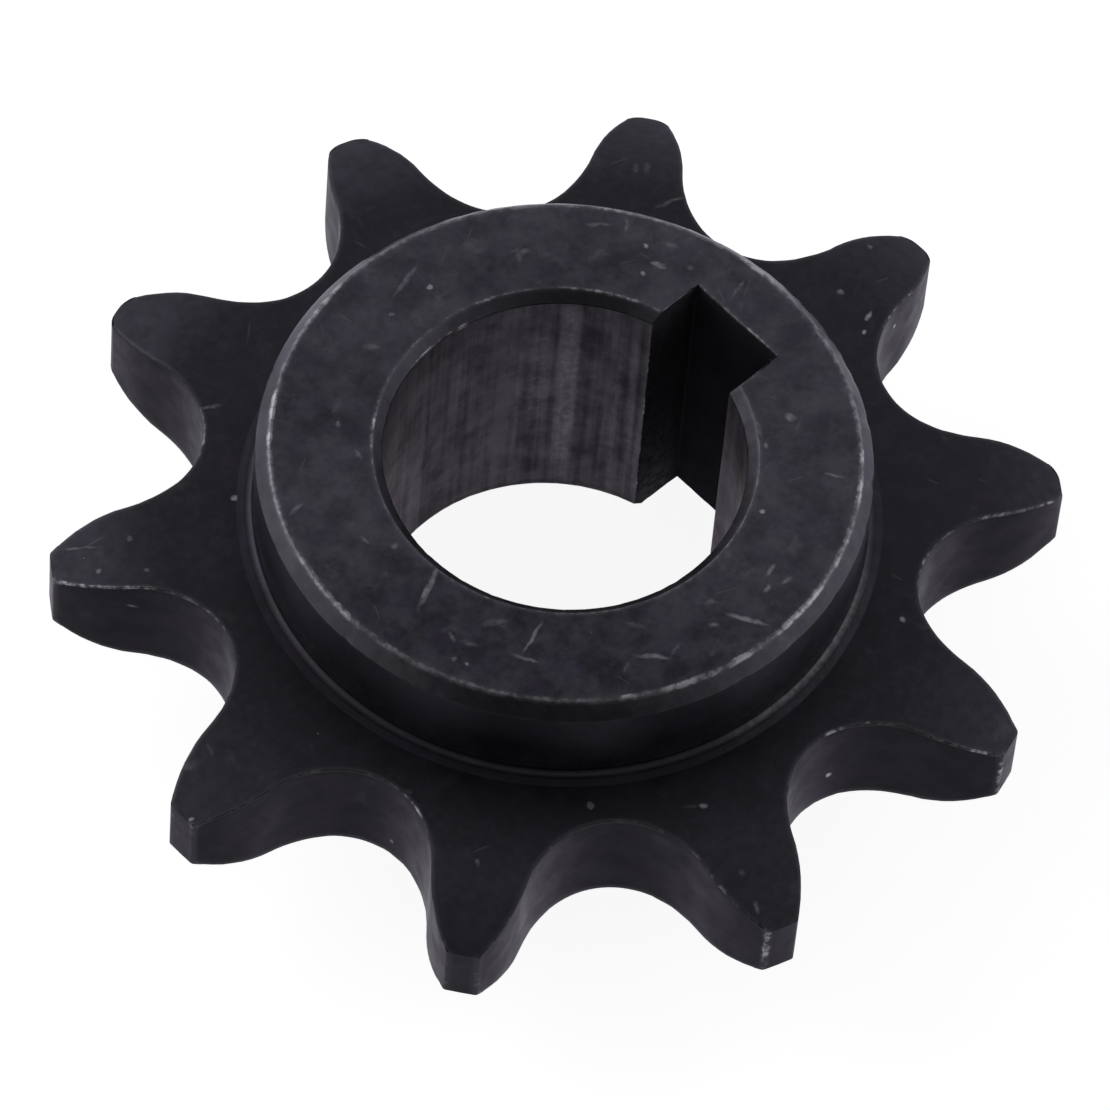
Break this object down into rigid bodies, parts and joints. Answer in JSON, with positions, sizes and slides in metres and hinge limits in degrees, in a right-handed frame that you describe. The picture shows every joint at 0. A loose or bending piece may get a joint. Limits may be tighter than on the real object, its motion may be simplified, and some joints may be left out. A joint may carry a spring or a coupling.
{
  "type": "chain sprocket",
  "caption": "One-piece steel sprocket for roller chain: a toothed plate between two equal hubs, with a keyed bore right through.",
  "frame": {"origin": "centre of the bore on the rear hub's end face, which is the face that the sprocket rests on", "axes": "+Z along the bore's axis, out of the front hub; +Y through the middle of the keyway, which lies under a tooth"},
  "size_m": [0.0446, 0.0464, 0.016],
  "materials": {
    "blackened_steel": "machined and black-oxided, worn bright on some edges"
  },
  "bodies": {
    "root": {"sprocket": "blackened_steel"}
  },
  "joints": []
}
